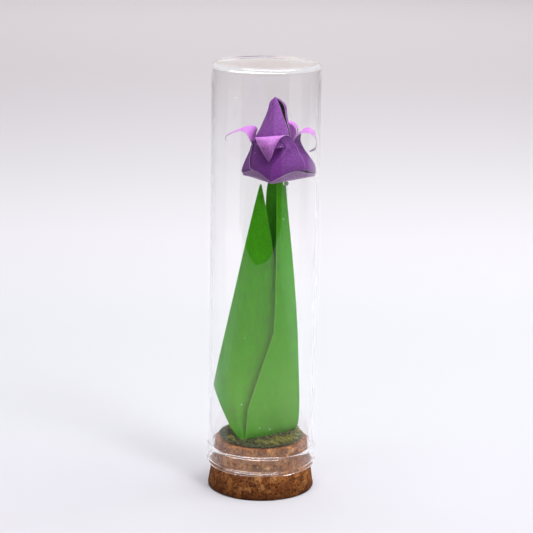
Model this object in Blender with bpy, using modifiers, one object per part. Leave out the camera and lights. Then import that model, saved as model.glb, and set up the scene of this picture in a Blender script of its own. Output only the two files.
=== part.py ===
"""Paper tulip in a corked glass tube.

A tulip folded from two sheets of paper stands on a tapered cork stopper, in a bed of
dried moss, under an upturned clear glass tube. Lengths below are in millimetres and are
turned into metres by MM where a mesh is made. The origin is the middle of the cork's
underside, +Z is up, and -Y is the side that the flower faces.
"""
import math

import bpy
from mathutils import Vector

MM = 0.001
GAP = 0.3                      # clearance between pieces that touch

# glass tube: closed flat end on top, flared and rolled mouth at the bottom
TUBE_RADIUS = 15.0
TUBE_WALL = 0.8
TUBE_TOP = 121.0
TUBE_END = 1.4                 # thickness of the closed end
END_CORNER = 2.0               # outer corner radius of the closed end
INNER_CORNER = 1.4
MOUTH_Z = 7.0                  # height of the mouth's rim
LIP_RADIUS = 15.45
LIP_BORE = 14.15
BEAD_RADIUS = 0.62             # rolled rim at the mouth
SHOULDER_Z = 13.4              # where the flare begins
TUBE_STEPS = 48

# cork: a truncated cone, wide end down
CORK_HEIGHT = 14.3
CORK_FOOT_RADIUS = 15.15
CORK_TOP_RADIUS = 13.0
CORK_EDGE = 0.5                # worn edge at both ends
CORK_STEPS = 40

# moss pad on the cork
MOSS_FLOOR = CORK_HEIGHT + GAP
MOSS_RADIUS = 11.0
MOSS_THIN = 0.2                # thickness where the paper and the glue stand
MOSS_TUFT = 1.9                # thickness of the tufts
MOSS_STEPS = 36
MOSS_RINGS = 9
SPRIG_RADIUS = 0.3
SPRIG_HUMP = 0.5               # how far a strand bows up
SPRIG_POINTS = 5

# folded sheets: several layers of thin paper, made as one thicker sheet
STEM_SHEET = 0.45
BLOOM_SHEET = 0.4
FOOT_Z = MOSS_FLOOR            # the paper stands on the cork, in a slot in the moss

# bloom: its axis, and the turn of its four corners about that axis
BLOOM_X = 3.6
BLOOM_TURN = math.radians(-12.0)
BLOOM_SIDES = 32
NECK_Z = 99.6                  # where the body ends and the bud begins
BUD_TOP = 111.4
BUD_LEAN = (-1.1, 0.3)         # how far the bud's point leans from the axis


def clear_scene():
    for item in list(bpy.data.objects):
        bpy.data.objects.remove(item, do_unlink=True)


def collection(name):
    group = bpy.data.collections.new(name)
    bpy.context.scene.collection.children.link(group)
    return group


def material(name, colour, roughness, alpha=1.0, transmission=0.0):
    finish = bpy.data.materials.new(name)
    finish.use_nodes = True
    shader = finish.node_tree.nodes["Principled BSDF"]
    shader.inputs["Base Color"].default_value = (*colour, 1.0)
    shader.inputs["Roughness"].default_value = roughness
    shader.inputs["Metallic"].default_value = 0.0
    shader.inputs["Alpha"].default_value = alpha
    shader.inputs["Transmission Weight"].default_value = transmission
    return finish


def new_object(name, mesh, group, finish=None):
    item = bpy.data.objects.new(name, mesh)
    group.objects.link(item)
    if finish is not None:
        mesh.materials.append(finish)
    return item


def turned(name, profile, steps, group, finish):
    """Solid of revolution from a profile that starts and ends on the axis."""
    mesh = bpy.data.meshes.new(name)
    points = [(x * MM, 0.0, z * MM) for x, z in profile]
    mesh.from_pydata(points, [(i, i + 1) for i in range(len(points) - 1)], [])
    item = new_object(name, mesh, group, finish)
    screw = item.modifiers.new("turn", "SCREW")
    screw.axis = "Z"
    screw.angle = math.tau
    screw.steps = steps
    screw.render_steps = steps
    screw.use_smooth_shade = True
    screw.use_merge_vertices = True
    screw.merge_threshold = 0.00001
    return item


def arc(centre_x, centre_z, radius, start, end, count):
    """Points on an arc, angles in degrees from +X towards +Z."""
    points = []
    for i in range(count + 1):
        angle = math.radians(start + (end - start) * i / count)
        points.append((centre_x + radius * math.cos(angle), centre_z + radius * math.sin(angle)))
    return points


def blend(first, second, share):
    return tuple(a + (b - a) * share for a, b in zip(first, second))


def refine(keys, rows_between):
    """Rows of points between key rows, evenly spaced along straight lines."""
    rows = []
    for low, high in zip(keys, keys[1:]):
        for i in range(rows_between):
            rows.append([blend(a, b, i / rows_between) for a, b in zip(low, high)])
    rows.append(list(keys[-1]))
    return rows


def give_thickness(item, thickness, offset):
    solid = item.modifiers.new("paper", "SOLIDIFY")
    solid.thickness = thickness * MM
    solid.offset = offset
    solid.use_even_offset = True


def sheet(name, rows, thickness, group, finish=None):
    """Open surface through rows of points, thickened evenly to both sides."""
    mesh = bpy.data.meshes.new(name)
    width = len(rows[0])
    points = [Vector(point) * MM for row in rows for point in row]
    faces = []
    for r in range(len(rows) - 1):
        for c in range(width - 1):
            a = r * width + c
            faces.append((a, a + 1, a + 1 + width, a + width))
    mesh.from_pydata(points, [], faces)
    item = new_object(name, mesh, group, finish)
    give_thickness(item, thickness, 0.0)
    return item


def combine(base, operation, tool):
    """Boolean of tool on base; tool becomes a hidden guide."""
    step = base.modifiers.new(tool.name, "BOOLEAN")
    step.operation = operation
    step.solver = "EXACT"
    step.object = tool
    tool.hide_render = True
    tool.display_type = "WIRE"


def glass_tube(group):
    inner = TUBE_RADIUS - TUBE_WALL
    corner_z = TUBE_TOP - TUBE_END - INNER_CORNER
    outside = [(0.0, TUBE_TOP)]
    outside += arc(TUBE_RADIUS - END_CORNER, TUBE_TOP - END_CORNER, END_CORNER, 90, 0, 5)
    outside += [(TUBE_RADIUS, SHOULDER_Z), (TUBE_RADIUS + 0.12, SHOULDER_Z - 1.0)]
    outside += [(LIP_RADIUS - 0.04, SHOULDER_Z - 2.0), (LIP_RADIUS, SHOULDER_Z - 2.7)]
    outside += [(LIP_RADIUS - 0.2, MOUTH_Z + 2.2), (LIP_RADIUS - 0.16, MOUTH_Z + 1.5)]
    outside += arc(LIP_RADIUS - BEAD_RADIUS, MOUTH_Z + BEAD_RADIUS, BEAD_RADIUS, 20, -90, 4)
    inside = arc(LIP_BORE + BEAD_RADIUS, MOUTH_Z + BEAD_RADIUS, BEAD_RADIUS, -100, -180, 3)
    inside += [(LIP_BORE, SHOULDER_Z - 2.5), (inner, SHOULDER_Z)]
    inside += arc(inner - INNER_CORNER, corner_z, INNER_CORNER, 0, 90, 3)
    inside += [(0.0, TUBE_TOP - TUBE_END)]
    glass = material("clear_glass", (0.92, 0.95, 0.95), 0.03, alpha=0.3, transmission=1.0)
    turned("glass_tube", outside + inside, TUBE_STEPS, group, glass)


def cork_radius(z):
    """Outer radius of the stopper at a height."""
    return CORK_FOOT_RADIUS + (CORK_TOP_RADIUS - CORK_FOOT_RADIUS) * z / CORK_HEIGHT


def cork_stopper(group):
    profile = [(0.0, CORK_HEIGHT), (CORK_TOP_RADIUS - CORK_EDGE, CORK_HEIGHT)]
    profile += [(cork_radius(CORK_HEIGHT - CORK_EDGE), CORK_HEIGHT - CORK_EDGE)]
    profile += [(cork_radius(CORK_EDGE), CORK_EDGE)]
    profile += [(CORK_FOOT_RADIUS - CORK_EDGE, 0.0), (0.0, 0.0)]
    cork = material("agglomerated_cork", (0.42, 0.22, 0.11), 0.85)
    turned("cork_stopper", profile, CORK_STEPS, group, cork)


# stem: each row runs from the back layer's free edge, round the ridge at the right, to
# the front flap's free edge; the last row is the point hidden inside the bloom
STEM_KEYS = [
    ((-3.6, 5.6, FOOT_Z), (9.8, 1.6, FOOT_Z), (-4.7, -8.0, FOOT_Z)),
    ((-3.0, 5.2, 20.0), (10.4, 1.7, 17.5), (-4.5, -7.9, 20.0)),
    ((-1.0, 4.4, 30.0), (10.8, 1.8, 30.0), (-1.3, -6.4, 30.0)),
    ((1.6, 2.8, 43.5), (10.2, 1.5, 43.5), (3.6, -3.2, 43.5)),
    ((0.3, 1.9, 65.0), (8.4, 1.0, 65.0), (3.2, -2.3, 65.0)),
    ((0.3, 1.3, 81.0), (6.8, 0.6, 81.0), (3.3, -1.6, 81.0)),
    ((0.8, 0.9, 87.6), (6.2, 0.4, 87.6), (3.4, -1.3, 87.6)),
    ((2.4, 0.5, 93.0), (5.2, 0.2, 93.0), (3.8, -0.7, 93.0)),
]

# leaf: each row runs from its folded left edge to its right edge, foot to tip
LEAF_KEYS = [
    ((-5.6, -7.7, FOOT_Z), (-4.6, -7.6, FOOT_Z), (-3.6, -7.3, FOOT_Z)),
    ((-9.6, -5.0, 19.5), (-5.2, -6.0, 19.5), (-1.6, -6.0, 19.5)),
    ((-13.6, 0.4, 30.0), (-6.0, -2.0, 30.0), (2.2, -4.1, 30.0)),
    ((-11.0, -0.1, 43.5), (-3.6, 0.4, 43.5), (4.4, -0.9, 43.5)),
    ((-6.4, -0.4, 65.0), (-1.6, 0.1, 65.0), (3.0, -0.6, 65.0)),
    ((-2.5, -0.8, 82.0), (-1.0, -0.6, 82.0), (0.2, -0.7, 82.0)),
    ((-1.4, -0.9, 87.4), (-1.1, -0.85, 87.4), (-0.8, -0.9, 87.4)),
]


def stem_and_leaf(group, guides):
    green = material("green_folding_paper", (0.09, 0.32, 0.06), 0.6)
    stem_rows = []
    for back, ridge, front in refine(STEM_KEYS, 2):
        stem_rows.append([back, blend(back, ridge, 0.5), ridge, blend(ridge, front, 0.5), front])
    stem = sheet("stem_and_leaf", stem_rows, STEM_SHEET, group, green)
    combine(stem, "UNION", sheet("leaf_layer", refine(LEAF_KEYS, 2), STEM_SHEET, guides))


# bloom body and bud: level, radius at the middle of a side, radius at a corner
BLOOM_LEVELS = [
    (88.9, 3.6, 3.6),
    (89.0, 4.8, 6.2),
    (89.6, 6.6, 9.3),
    (90.8, 7.1, 10.35),
    (93.5, 6.6, 9.1),
    (96.6, 5.8, 7.4),
    (NECK_Z, 5.0, 5.9),
    (102.4, 4.3, 4.9),
    (106.0, 3.2, 3.6),
    (109.4, 2.3, 2.5),
    (BUD_TOP, 0.9, 0.9),
]


def bloom_ring(level, side, corner):
    """One ring of the bloom: four corners with nearly straight sides between them."""
    quarter = math.tau / 4
    lean = max(0.0, (level - NECK_Z) / (BUD_TOP - NECK_Z))
    ring = []
    for i in range(BLOOM_SIDES):
        angle = math.tau * i / BLOOM_SIDES
        from_side = angle % quarter - quarter / 2
        share = (1.0 / math.cos(from_side) - 1.0) / (math.sqrt(2.0) - 1.0)
        radius = side + (corner - side) * share
        x = BLOOM_X + BUD_LEAN[0] * lean + radius * math.cos(angle + BLOOM_TURN)
        y = BUD_LEAN[1] * lean + radius * math.sin(angle + BLOOM_TURN)
        ring.append((x, y, level))
    return ring


# petals: direction of the width, then the middle line from the root in the neck to the
# tip with the half width at each point
PETALS = {
    "front": ((1.0, 0.0, 0.1), [
        ((2.6, -4.0, 98.8), 3.0), ((1.6, -5.8, 101.5), 3.7), ((1.2, -7.2, 100.6), 3.2),
        ((0.9, -8.0, 98.2), 2.0), ((0.8, -8.4, 95.2), 0.4)]),
    "left": ((0.15, -1.0, -0.35), [
        ((-0.6, 0.6, 98.8), 2.8), ((-2.9, 1.0, 101.6), 2.8), ((-4.9, 1.2, 103.2), 2.4),
        ((-8.0, 1.6, 102.6), 1.5), ((-10.8, 2.2, 100.6), 0.4)]),
    "right": ((0.0, 1.0, -0.1), [
        ((7.4, -0.8, 98.8), 2.8), ((9.8, -1.3, 102.3), 2.6), ((11.7, -1.5, 103.5), 2.1),
        ((13.2, -1.6, 102.2), 1.6), ((13.5, -1.6, 99.4), 1.1), ((12.9, -1.6, 97.6), 0.8),
        ((11.6, -1.6, 96.9), 0.4)]),
    "back": ((-1.0, 0.1, 0.2), [
        ((4.3, 4.1, 98.8), 3.0), ((5.2, 5.4, 102.4), 3.2), ((6.0, 7.0, 103.6), 2.6),
        ((6.8, 9.2, 102.0), 1.6), ((7.2, 10.4, 99.4), 0.4)]),
}


def petal(name, guides):
    direction, line = PETALS[name]
    across = Vector(direction).normalized()
    rows = []
    for point, half in line:
        middle = Vector(point)
        rows.append([tuple(middle - across * half), point, tuple(middle + across * half)])
    return sheet("petal_" + name, refine(rows, 2), BLOOM_SHEET, guides)


def bloom(group, guides):
    """Hollow paper body that runs on into the closed bud, open below where it was blown up."""
    mesh = bpy.data.meshes.new("bloom")
    rings = [bloom_ring(*level) for level in BLOOM_LEVELS]
    points = [Vector(point) * MM for ring in rings for point in ring]
    faces = []
    for r in range(len(rings) - 1):
        for c in range(BLOOM_SIDES):
            a = r * BLOOM_SIDES + c
            b = r * BLOOM_SIDES + (c + 1) % BLOOM_SIDES
            faces.append((a, b, b + BLOOM_SIDES, a + BLOOM_SIDES))
    faces.append(tuple(range(len(points) - BLOOM_SIDES, len(points))))
    mesh.from_pydata(points, [], faces)
    violet = material("violet_folding_paper", (0.2, 0.07, 0.27), 0.5)
    item = new_object("bloom", mesh, group, violet)
    give_thickness(item, BLOOM_SHEET, -1.0)
    for name in PETALS:
        combine(item, "UNION", petal(name, guides))


def drop(name, centre, radii, turn, group, finish):
    """Small rounded dab: a sphere scaled to three radii and turned about Z."""
    bpy.ops.mesh.primitive_uv_sphere_add(segments=16, ring_count=10, radius=MM)
    item = bpy.context.object
    item.name = name
    item.data.name = name
    for vertex in item.data.vertices:
        vertex.co = Vector(c * r for c, r in zip(vertex.co, radii))
    item.data.shade_smooth()
    item.data.materials.append(finish)
    item.location = Vector(centre) * MM
    item.rotation_euler = (0.0, 0.0, turn)
    for owner in list(item.users_collection):
        owner.objects.unlink(item)
    group.objects.link(item)


FOOT_GLUE = ((4.8, 0.7, MOSS_FLOOR + MOSS_THIN + GAP + 0.8), (1.6, 1.1, 0.8))
BLOOM_GLUE = ((5.7, -1.05, 87.8), (1.0, 0.45, 0.7))
FLAP_TURN = math.radians(31.0)        # the front flap's direction, which the dab follows


def glue(group):
    clear = material("clear_glue", (0.85, 0.88, 0.8), 0.2, alpha=0.6)
    drop("foot_glue", *FOOT_GLUE, 0.0, group, clear)
    drop("bloom_glue", *BLOOM_GLUE, FLAP_TURN, group, clear)


def distance_to_foot(x, y):
    """Plan distance from a point to the paper's foot and to the glue beside it."""
    here = Vector((x, y))
    nearest = max(0.0, (here - Vector(FOOT_GLUE[0][:2])).length - FOOT_GLUE[1][0])
    for row in (STEM_KEYS[0], LEAF_KEYS[0], LEAF_KEYS[1]):
        for a, b in zip(row, row[1:]):
            start, side = Vector(a[:2]), Vector(b[:2]) - Vector(a[:2])
            along = max(0.0, min(1.0, (here - start).dot(side) / side.length_squared))
            nearest = min(nearest, (here - start - side * along).length)
    return nearest


def moss_thickness(x, y):
    """Thin where the paper and the glue stand and at the rim, tufted between."""
    away = max(0.0, min(1.0, (distance_to_foot(x, y) - 1.3) / 1.5))
    rim = max(0.0, min(1.0, (MOSS_RADIUS - math.hypot(x, y)) / 1.6))
    tuft = 0.75 + 0.25 * math.sin(1.3 * x + 0.6) * math.cos(1.5 * y - 0.4)
    return MOSS_THIN + (MOSS_TUFT * tuft - MOSS_THIN) * away * rim


def moss_slots(guides):
    """Guides a little thicker than the paper, which cut its slots in the moss."""
    wide = STEM_SHEET + 2.0 * GAP
    for name, rows in (("stem_slot", STEM_KEYS[:2]), ("leaf_slot", LEAF_KEYS[:2])):
        below = [(x, y, z - 1.0) for x, y, z in rows[0]]
        yield sheet(name, [lengthen(row, GAP) for row in [below] + rows], wide, guides)


def lengthen(row, extra):
    """A row of points whose two ends reach further out."""
    first, last = Vector(row[0]), Vector(row[-1])
    first += (first - Vector(row[1])).normalized() * extra
    last += (last - Vector(row[-2])).normalized() * extra
    return [tuple(first), *row[1:-1], tuple(last)]


def moss_bed(group, guides, finish):
    """Flat disc turned from a profile, its top raised into tufts, cut round the foot."""
    top = MOSS_FLOOR + MOSS_THIN
    profile = [(MOSS_RADIUS * i / MOSS_RINGS, top) for i in range(MOSS_RINGS + 1)]
    profile += [(MOSS_RADIUS, MOSS_FLOOR), (0.0, MOSS_FLOOR)]
    disc = turned("moss_disc", profile, MOSS_STEPS, group, finish)
    depsgraph = bpy.context.evaluated_depsgraph_get()
    mesh = bpy.data.meshes.new_from_object(disc.evaluated_get(depsgraph))
    bpy.data.objects.remove(disc, do_unlink=True)
    for vertex in mesh.vertices:
        x, y, z = vertex.co / MM
        if z > MOSS_FLOOR + MOSS_THIN / 2:
            vertex.co.z = (MOSS_FLOOR + moss_thickness(x, y)) * MM
    mesh.name = "moss_bed"
    bed = new_object("moss_bed", mesh, group)
    for slot in moss_slots(guides):
        combine(bed, "DIFFERENCE", slot)


# loose strands on the pad at the right front: plan of both ends
SPRIGS = [
    ((-2.2, -9.2), (1.6, -8.6)),
    ((0.6, -6.9), (4.4, -7.9)),
    ((3.8, -9.4), (7.4, -7.0)),
    ((5.0, -4.6), (8.4, -4.9)),
    ((9.3, -4.2), (10.2, -0.9)),
]


def moss_sprigs(group, finish):
    """Short bent strands, each lying just above the highest moss under it."""
    for number, (start, end) in enumerate(SPRIGS, 1):
        name = "moss_sprig_%d" % number
        curve = bpy.data.curves.new(name, "CURVE")
        curve.dimensions = "3D"
        curve.bevel_depth = SPRIG_RADIUS * MM
        curve.bevel_resolution = 1
        curve.use_fill_caps = True
        curve.materials.append(finish)
        spline = curve.splines.new("POLY")
        spline.points.add(SPRIG_POINTS - 1)
        level = MOSS_FLOOR + sprig_bed(start, end) + GAP + SPRIG_RADIUS
        for i, point in enumerate(spline.points):
            share = i / (SPRIG_POINTS - 1)
            x, y = blend(start, end, share)
            hump = SPRIG_HUMP * math.sin(math.pi * share)
            point.co = (x * MM, y * MM, (level + hump) * MM, 1.0)
        group.objects.link(bpy.data.objects.new(name, curve))


def sprig_bed(start, end):
    """Highest moss under a strand."""
    return max(moss_thickness(*blend(start, end, i / 8)) for i in range(9))


def main():
    clear_scene()
    group = collection("paper_tulip_in_tube")
    guides = collection("guides")
    glass_tube(group)
    cork_stopper(group)
    moss_bed(group, guides, material("dried_moss", (0.10, 0.11, 0.04), 0.95))
    moss_sprigs(group, material("pale_moss_strands", (0.28, 0.25, 0.08), 0.95))
    stem_and_leaf(group, guides)
    bloom(group, guides)
    glue(group)


main()
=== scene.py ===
"""Looks of the paper tulip that stands on a cork under an upturned glass tube.

Lengths are in millimetres and MM turns them into metres. The origin is the middle of the
cork's underside, +Z is up, and the flower faces -Y.
"""
from functools import partial
from math import cos, pi, radians, sin, sqrt, tau

import bpy
import numpy as np
from mathutils import Matrix, Vector, noise


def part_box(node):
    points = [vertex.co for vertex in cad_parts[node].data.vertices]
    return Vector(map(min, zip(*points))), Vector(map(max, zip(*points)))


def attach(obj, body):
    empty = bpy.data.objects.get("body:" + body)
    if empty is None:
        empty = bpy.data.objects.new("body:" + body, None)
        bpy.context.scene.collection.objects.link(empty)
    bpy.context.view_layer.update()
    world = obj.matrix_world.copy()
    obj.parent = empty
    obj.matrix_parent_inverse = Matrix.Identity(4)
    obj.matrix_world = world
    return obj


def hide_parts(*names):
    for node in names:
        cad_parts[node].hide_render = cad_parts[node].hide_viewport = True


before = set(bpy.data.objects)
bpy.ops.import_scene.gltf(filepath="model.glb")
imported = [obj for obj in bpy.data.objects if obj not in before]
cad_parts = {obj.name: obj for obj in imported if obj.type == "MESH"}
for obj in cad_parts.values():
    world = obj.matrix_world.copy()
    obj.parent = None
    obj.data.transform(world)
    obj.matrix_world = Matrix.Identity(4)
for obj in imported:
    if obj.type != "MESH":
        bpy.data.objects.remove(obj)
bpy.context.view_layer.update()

MM = 0.001


# ---- sizes from the frame

def top_of(node):
    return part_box(node)[1].z / MM


def foot_of(node):
    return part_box(node)[0].z / MM


TUBE_TOP = top_of("glass_tube")
MOUTH_Z = foot_of("glass_tube")
LIP_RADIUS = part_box("glass_tube")[1].x / MM
TUBE_RADIUS = LIP_RADIUS - 0.45
TUBE_WALL = 0.8
TUBE_END = 0.75                # thickness of the closed end
MOUTH_BORE = 14.15             # radius of the hole that the cork plugs
CORK_HEIGHT = top_of("cork_stopper")
CORK_FOOT_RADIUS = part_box("cork_stopper")[1].x / MM
CORK_TOP_RADIUS = 13.0
MOSS_FLOOR = foot_of("moss_bed")
MOSS_REACH = 12.1              # radius that no strand of moss passes
LEAF_FOOT = (-4.4, -9.4)       # plan of the place just before the leaf's foot
PAPER = 0.12                   # one thickness of folding paper


# ---- materials

def colour(code):
    """Linear RGBA of an sRGB hex colour."""
    parts = [int(code[i:i + 2], 16) / 255 for i in (1, 3, 5)]
    return tuple(p / 12.92 if p <= 0.04045 else ((p + 0.055) / 1.055) ** 2.4 for p in parts) + (1.0,)


def add_node(tree, kind, inputs=None, stops=(), **settings):
    """Adds a node, sets its properties and (position, hex) stops, and sets or links its inputs.

    A node given as an input is linked from its first output in use.
    """
    made = tree.nodes.new("ShaderNode" + kind)
    for name, value in settings.items():
        setattr(made, name, value)
    for key, value in (inputs or {}).items():
        if isinstance(value, bpy.types.Node):
            value = next(out for out in value.outputs if out.enabled)
        if isinstance(value, bpy.types.NodeSocket):
            tree.links.new(value, made.inputs[key])
        else:
            made.inputs[key].default_value = value
    if stops:
        band = made.color_ramp.elements
        while len(band) < len(stops):
            band.new(0.5)
        for element, (position, code) in zip(band, stops):
            element.position = position
            element.color = colour(code)
    return made


def new_material(name):
    """An empty material, and the function that adds its nodes."""
    made = bpy.data.materials.new(name)
    made.use_nodes = True
    made.node_tree.nodes.clear()
    return made, partial(add_node, made.node_tree)


def in_millimetres(add, stretch=(1.0, 1.0, 1.0)):
    """The piece's own coordinates in millimetres, divided by a stretch."""
    place = add("TexCoord").outputs["Object"]
    return add("Mapping", {"Vector": place, "Scale": tuple(1.0 / (MM * s) for s in stretch)})


def stained(add, tone, *stains):
    """A tone darkened in turn by stains of (strength, what drives it, its stops)."""
    for strength, drive, stops in stains:
        stain = add("ValToRGB", {"Fac": drive}, stops)
        tone = add("Mix", {0: strength, 6: tone, 7: stain}, data_type="RGBA", blend_type="MULTIPLY")
    return tone


def folding_paper(name, face, deep, worn_and_highlit_colour, roughness, felt_shade, backed_painted_shade=None):
    """Dyed folding paper, calendered on one side.

    Its face is nearly even in colour, with a fine felt of fibres, faint cloudy patches
    where the pulp lay thicker, and paler lines where a fold has cracked the dye and along cut
    edges, which also serve as painted highlights. Where it stands free it is painted lighter, a
    painted glow for the light that shines through it; where more paper lies behind it, it is
    painted the darker backing colour, a painted shade.
    """
    made, add = new_material(name)
    here = in_millimetres(add)
    cloud = add("TexNoise", {"Vector": here, "Scale": 1 / 5.0, "Detail": 3.0})
    # real fibres are about 0.03 mm wide; clumps of 0.4 mm are the finest that still show
    felt = add("TexNoise", {
        "Vector": here, "Scale": 1 / 0.4, "Detail": 5.0, "Roughness": 0.7, "Distortion": 0.5})
    # the web's grain runs up the sheet: streaks 0.2 mm wide and 3 mm long
    lengthwise = in_millimetres(add, (0.22, 0.22, 3.0))
    grain = add("TexNoise", {"Vector": lengthwise, "Scale": 1.0, "Detail": 3.0})
    tone = add("Mix", {0: cloud, 6: colour(deep), 7: colour(face)}, data_type="RGBA")
    if backed_painted_shade:
        # painted light: a painted glow where the sheet stands free, and painted shade in the darker backing
        # colour where paper lies behind
        glow = add("Attribute", attribute_name="glow").outputs["Fac"]
        tone = add("Mix", {0: glow, 6: colour(backed_painted_shade), 7: tone}, data_type="RGBA")
    tone = stained(add, tone, (1.0, felt, [(0.35, felt_shade), (0.65, "#FFFFFF")]),
                   (1.0, grain, [(0.3, "#DCDCDC"), (0.7, "#FFFFFF")]))
    # paler lines at cut edges and folds: worn dye, and painted highlights along the edges too
    worn = add("Attribute", attribute_name="worn").outputs["Fac"]
    crack = add("Math", {0: worn, 1: felt}, operation="MULTIPLY")
    tone = add("Mix", {0: crack, 6: tone, 7: colour(worn_and_highlit_colour)}, data_type="RGBA")
    relief = add("Math", {0: felt, 1: grain}, operation="ADD")
    bump = add("Bump", {"Height": relief, "Strength": 0.35, "Distance": 0.03 * MM})
    shader = add("BsdfPrincipled", {
        "Base Color": tone, "Roughness": roughness, "IOR": 1.5, "Normal": bump, "Specular IOR Level": 0.14})
    add("OutputMaterial", {"Surface": shader})
    return made


def mottled(name, patch, detail, stops, surface, relief=0.0, glow=0.0):
    """A material whose tone drifts between colours in patches of a size in millimetres."""
    made, add = new_material(name)
    cloud = add("TexNoise", {"Vector": in_millimetres(add), "Scale": 1 / patch, "Detail": detail})
    tone = add("ValToRGB", {"Fac": cloud}, stops)
    surface = {"Base Color": tone, **surface}
    if relief:
        surface["Normal"] = add("Bump", {"Height": cloud, "Strength": relief, "Distance": 0.05 * MM})
    if glow:
        surface.update({"Emission Color": tone, "Emission Strength": glow})
    add("OutputMaterial", {"Surface": add("BsdfPrincipled", surface)})
    return made


def cut_edge_paper(name, pale, tint):
    """The undyed core of the paper, seen at cut edges as a pale fibrous line."""
    return mottled(name, 0.3, 3.0, [(0.3, tint), (0.7, pale)], {"Roughness": 0.8, "IOR": 1.5})


def drawn_glass_tubing():
    """Clear drawn tubing: flawless gloss, with faint lengthwise draw lines that waver it.

    Light from the lamps passes straight through, so what stands inside is lit.
    """
    made, add = new_material("drawn_glass_tubing")
    along = in_millimetres(add, (3.0, 3.0, 90.0))
    waver = add("TexNoise", {"Vector": along, "Scale": 1.0, "Detail": 1.0})
    bump = add("Bump", {"Height": waver, "Strength": 0.015, "Distance": 0.05 * MM})
    glass = add("BsdfPrincipled", {
        "Base Color": colour("#FFFFFF"), "Roughness": 0.0, "IOR": 1.47,
        "Transmission Weight": 1.0, "Normal": bump})
    clear = add("BsdfTransparent")
    path = add("LightPath").outputs
    piped = add("Math", {0: path["Glossy Depth"], 1: 2.5}, operation="GREATER_THAN")
    scattered = add("Math", {0: path["Diffuse Depth"], 1: 0.5}, operation="GREATER_THAN")
    straight = add("Math", {0: piped, 1: scattered}, operation="MAXIMUM")
    passes = add("Math", {0: path["Is Shadow Ray"], 1: straight}, operation="MAXIMUM")
    both = add("MixShader", {0: passes, 1: glass, 2: clear})
    add("OutputMaterial", {"Surface": both})
    return made


def pressed_cork():
    """Agglomerated cork: granules of bark 1 to 3 mm across, pressed with glue and turned.

    Each granule has its own brown, dark bark specks and torn pits show between them, and
    the foot is painted darker, a painted shade where the table shades the cork.
    """
    made, add = new_material("pressed_cork")
    here = in_millimetres(add)
    granule = add("Attribute", attribute_name="granule").outputs["Fac"]
    crack = add("Attribute", attribute_name="crack").outputs["Fac"]
    grains = add("TexVoronoi", {"Vector": here, "Scale": 1 / 0.75})
    pocks = add("TexVoronoi", {"Vector": here, "Scale": 1 / 1.5})
    bark = add("TexNoise", {"Vector": here, "Scale": 1 / 0.42, "Detail": 4.0, "Roughness": 0.65})
    smoke = add("TexNoise", {"Vector": here, "Scale": 1 / 3.2, "Detail": 3.0, "Roughness": 0.6})
    # painted shade: the cork darkens towards its foot, where the table shades it
    foot_painted_shade = add("MapRange", {"Value": add("SeparateXYZ", {0: here}).outputs["Z"], "From Max": 14.0})
    tone = add("ValToRGB", {"Fac": granule}, [
        (0.0, "#A97044"), (0.2, "#BF824A"), (0.45, "#CC8F56"), (0.65, "#B67B4A"), (0.85, "#D29C66"),
        (1.0, "#DCAB77")])
    tone = stained(
        add, tone,
        (0.6, grains.outputs["Color"], [(0.1, "#8E6C4C"), (0.45, "#DDC3A6"), (0.95, "#FFFFFF")]),
        (0.85, bark, [(0.4, "#3A2212"), (0.47, "#FFFFFF")]),
        (0.85, pocks, [(0.13, "#26150A"), (0.24, "#FFFFFF")]),
        (0.7, smoke, [(0.34, "#A48A6E"), (0.56, "#FFFFFF")]),
        (1.0, foot_painted_shade, [(0.0, "#8A7C6A"), (0.14, "#CDBFAA"), (0.4, "#FBF3EA"), (1.0, "#FFFFFF")]))
    tone = add("Mix", {0: crack, 6: tone, 7: colour("#22140A")}, data_type="RGBA")
    height = add("Math", {0: bark, 1: grains}, operation="SUBTRACT")
    bump = add("Bump", {"Height": height, "Strength": 0.7, "Distance": 0.15 * MM})
    shader = add("BsdfPrincipled", {
        "Base Color": tone, "Roughness": 0.85, "IOR": 1.45, "Specular IOR Level": 0.2, "Normal": bump})
    add("OutputMaterial", {"Surface": shader})
    return made


def dried_moss(name, stops):
    """Dried, dyed moss: each strand has dried to its own shade, browner towards its foot."""
    made, add = new_material(name)
    strand = add("Attribute", attribute_name="strand").outputs["Fac"]
    height = add("Attribute", attribute_name="height").outputs["Fac"]
    fleck = add("TexNoise", {"Vector": in_millimetres(add), "Scale": 1 / 0.2, "Detail": 2.0})
    tone = add("ValToRGB", {"Fac": strand}, stops)
    tone = stained(add, tone, (1.0, height, [(0.0, "#6E6250"), (0.6, "#FFFFFF")]),
                   (1.0, fleck, [(0.3, "#BDB9A8"), (0.7, "#FFFFFF")]))
    shader = add("BsdfPrincipled", {
        "Base Color": tone, "Roughness": 0.8, "IOR": 1.4, "Sheen Weight": 0.2})
    add("OutputMaterial", {"Surface": shader})
    return made


def hot_glue():
    """A dab of hot-melt glue: clear, a little milky, with a wet gloss."""
    return mottled("hot_glue", 0.6, 2.0, [(0.3, "#F1F5EC"), (0.7, "#FFFFFF")],
                   {"Roughness": 0.08, "IOR": 1.48, "Transmission Weight": 0.9}, relief=0.3)


def lint():
    """Dust caught on the glass: pale fluff, with a faint painted glow so that it shows pale."""
    return mottled("lint", 0.1, 2.0, [(0.3, "#DEDAD4"), (0.7, "#FFFFFF")],
                   {"Roughness": 0.9, "IOR": 1.4}, glow=0.4)


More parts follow.
